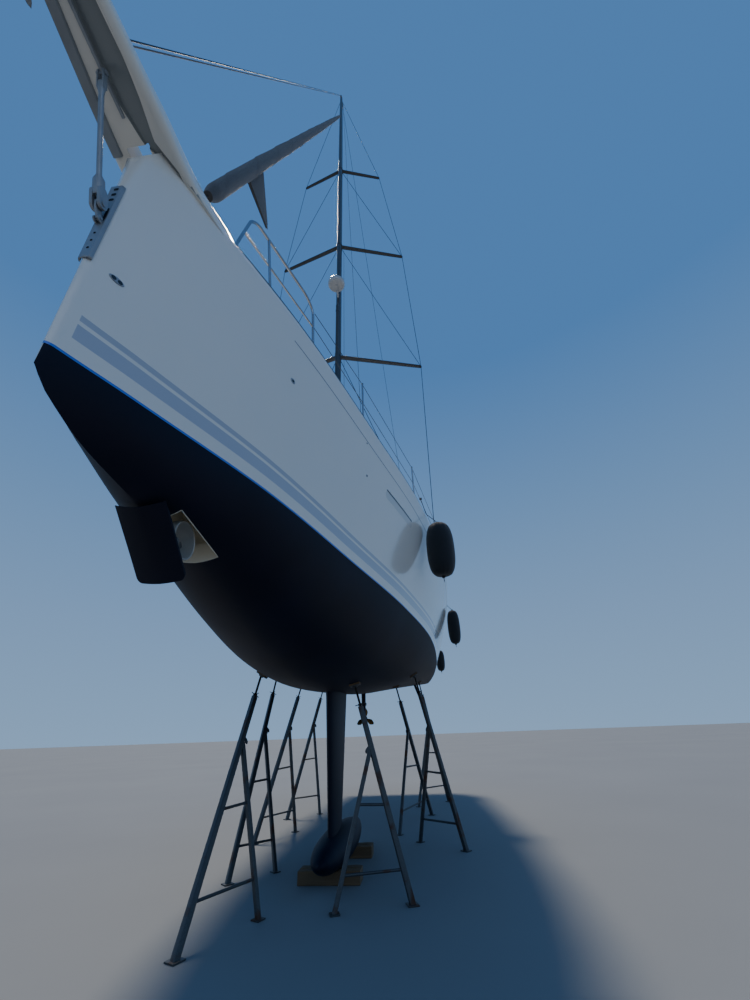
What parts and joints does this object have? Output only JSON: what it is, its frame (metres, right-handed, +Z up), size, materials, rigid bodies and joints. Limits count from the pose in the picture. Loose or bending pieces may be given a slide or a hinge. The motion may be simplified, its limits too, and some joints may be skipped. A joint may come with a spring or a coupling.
{
  "type": "sailing yacht",
  "caption": "Sloop-rigged cruising yacht with bulb keel, stub bowsprit, furled headsail and swing-down bow thruster, standing ashore on keel blocks and leaning props.",
  "frame": {"origin": "on the ground, midway between the anchor's nose and the transom, under the centreline", "axes": "+X towards the bow, +Y to port, +Z up"},
  "size_m": [18.44, 5.0722, 26.2803],
  "materials": {
    "topsides": "polished white gelcoat, antifouling paint below the waterline",
    "deck": "non-slip gelcoat",
    "glazing": "dark acrylic",
    "keel_iron": "matt dark antifouling paint",
    "antifouling": "matt dark antifouling paint",
    "drive_alloy": "cast and painted",
    "bronze": "dull",
    "stainless": "polished",
    "wire": "stranded wire",
    "galvanised": "galvanised",
    "spar": "dark satin paint",
    "sailcloth": "dark woven acrylic",
    "white_plastic": "smooth",
    "carbon": "lacquered",
    "fender_cover": "knitted black cover",
    "prop_steel": "worn galvanised steel",
    "timber": "rough sawn"
  },
  "bodies": {
    "yacht": {"hull": "topsides", "foredeck": "deck", "coachroof": "deck", "aft_deck": "deck", "keel_fin": "keel_iron", "keel_bulb": "keel_iron", "keel_block_fore": "timber", "keel_block_aft": "timber", "drive_leg": "drive_alloy", "bowsprit": "topsides", "stem_plate": "stainless", "bobstay": "stainless", "anchor": "galvanised", "windlass": "stainless", "pulpit_port": "stainless", "pulpit_starboard": "stainless", "rails_port": "stainless", "rails_starboard": "stainless", "mast": "spar", "spreaders_lower": "spar", "spreaders_middle": "spar", "spreaders_upper": "spar", "shrouds_port": "wire", "shrouds_starboard": "wire", "backstays": "wire", "forestay": "wire", "furled_genoa": "sailcloth", "sprit_stay": "wire", "radome": "white_plastic", "spinnaker_pole": "spar", "pedestal_port": "deck", "pedestal_starboard": "deck", "winch_primary_port": "stainless", "winch_primary_starboard": "stainless", "fender_1": "fender_cover", "fender_2": "fender_cover", "fender_3": "fender_cover", "prop_starboard_1": "prop_steel", "prop_starboard_2": "prop_steel", "prop_starboard_3": "prop_steel", "prop_starboard_4": "prop_steel", "prop_port_1": "prop_steel", "prop_port_2": "prop_steel", "prop_port_3": "prop_steel", "prop_port_4": "prop_steel"},
    "port_rudder": {"rudder_port": "antifouling"},
    "starboard_rudder": {"rudder_starboard": "antifouling"},
    "port_wheel": {"wheel_port": "carbon"},
    "starboard_wheel": {"wheel_starboard": "carbon"},
    "propeller": {"propeller": "bronze"},
    "thruster": {"thruster_unit": "antifouling"},
    "thruster_propeller": {"thruster_propeller": "drive_alloy"},
    "boom": {"boom": "spar", "sail_cover": "sailcloth", "vang": "spar"},
    "locker_lid": {"anchor_locker_lid": "deck"},
    "foredeck_hatch": {"foredeck_hatch": "glazing"},
    "saloon_hatch": {"saloon_hatch": "glazing"},
    "companion_hatch": {"companion_hatch": "glazing"},
    "transom_platform": {"transom_platform": "topsides"}
  },
  "joints": [
    {"name": "port_rudder_turn", "type": "hinge", "parent": "yacht", "child": "port_rudder", "pos_m": [-6.87, 1.23, 3.21369], "axis": [-0.1045, 0.3401, -0.9345], "range_deg": [-35, 35]},
    {"name": "starboard_rudder_turn", "type": "hinge", "parent": "yacht", "child": "starboard_rudder", "pos_m": [-6.87, -1.23, 3.21369], "axis": [-0.1045, -0.3401, -0.9345], "range_deg": [-35, 35]},
    {"name": "port_wheel_turn", "type": "hinge", "parent": "yacht", "child": "port_wheel", "pos_m": [-7.28, 0.95, 5.06], "axis": [1, 0, 0], "range_deg": [-350, 350]},
    {"name": "starboard_wheel_turn", "type": "hinge", "parent": "yacht", "child": "starboard_wheel", "pos_m": [-7.28, -0.95, 5.06], "axis": [1, 0, 0], "range_deg": [-350, 350]},
    {"name": "propeller_spin", "type": "hinge", "parent": "yacht", "child": "propeller", "pos_m": [-2.93, 0, 2.15], "axis": [-1, 0, 0], "continuous": true},
    {"name": "thruster_swing", "type": "hinge", "parent": "yacht", "child": "thruster", "pos_m": [7.04, 0, 3.42], "axis": [0, 1, 0], "range_deg": [0, 34]},
    {"name": "thruster_spin", "type": "hinge", "parent": "thruster", "child": "thruster_propeller", "pos_m": [6.775, 0, 3], "axis": [0, 1, 0], "continuous": true},
    {"name": "boom_swing", "type": "hinge", "parent": "yacht", "child": "boom", "pos_m": [1.035, 0, 6.9], "axis": [0, 0, 1], "range_deg": [-60, 60]},
    {"name": "locker_lid_lift", "type": "hinge", "parent": "yacht", "child": "locker_lid", "pos_m": [6.08, -0.3, 5.314], "axis": [1, 0, 0], "range_deg": [0, 100]},
    {"name": "foredeck_hatch_lift", "type": "hinge", "parent": "yacht", "child": "foredeck_hatch", "pos_m": [4.68, 0, 5.25], "axis": [0, 1, 0], "range_deg": [0, 90]},
    {"name": "saloon_hatch_lift", "type": "hinge", "parent": "yacht", "child": "saloon_hatch", "pos_m": [-1.02, 0, 5.548], "axis": [0, 1, 0], "range_deg": [0, 90]},
    {"name": "companion_hatch_slide", "type": "slide", "parent": "yacht", "child": "companion_hatch", "axis": [1, 0, 0], "range_m": [0, 0.7]},
    {"name": "transom_platform_fold", "type": "hinge", "parent": "yacht", "child": "transom_platform", "pos_m": [-9.22, 0, 3.766], "axis": [0, -1, 0], "range_deg": [0, 90]}
  ],
  "couplings": [
    {"joint": "starboard_rudder_turn", "follows": "port_rudder_turn", "ratio": 1},
    {"joint": "port_wheel_turn", "follows": "port_rudder_turn", "ratio": -10},
    {"joint": "starboard_wheel_turn", "follows": "port_rudder_turn", "ratio": -10}
  ]
}
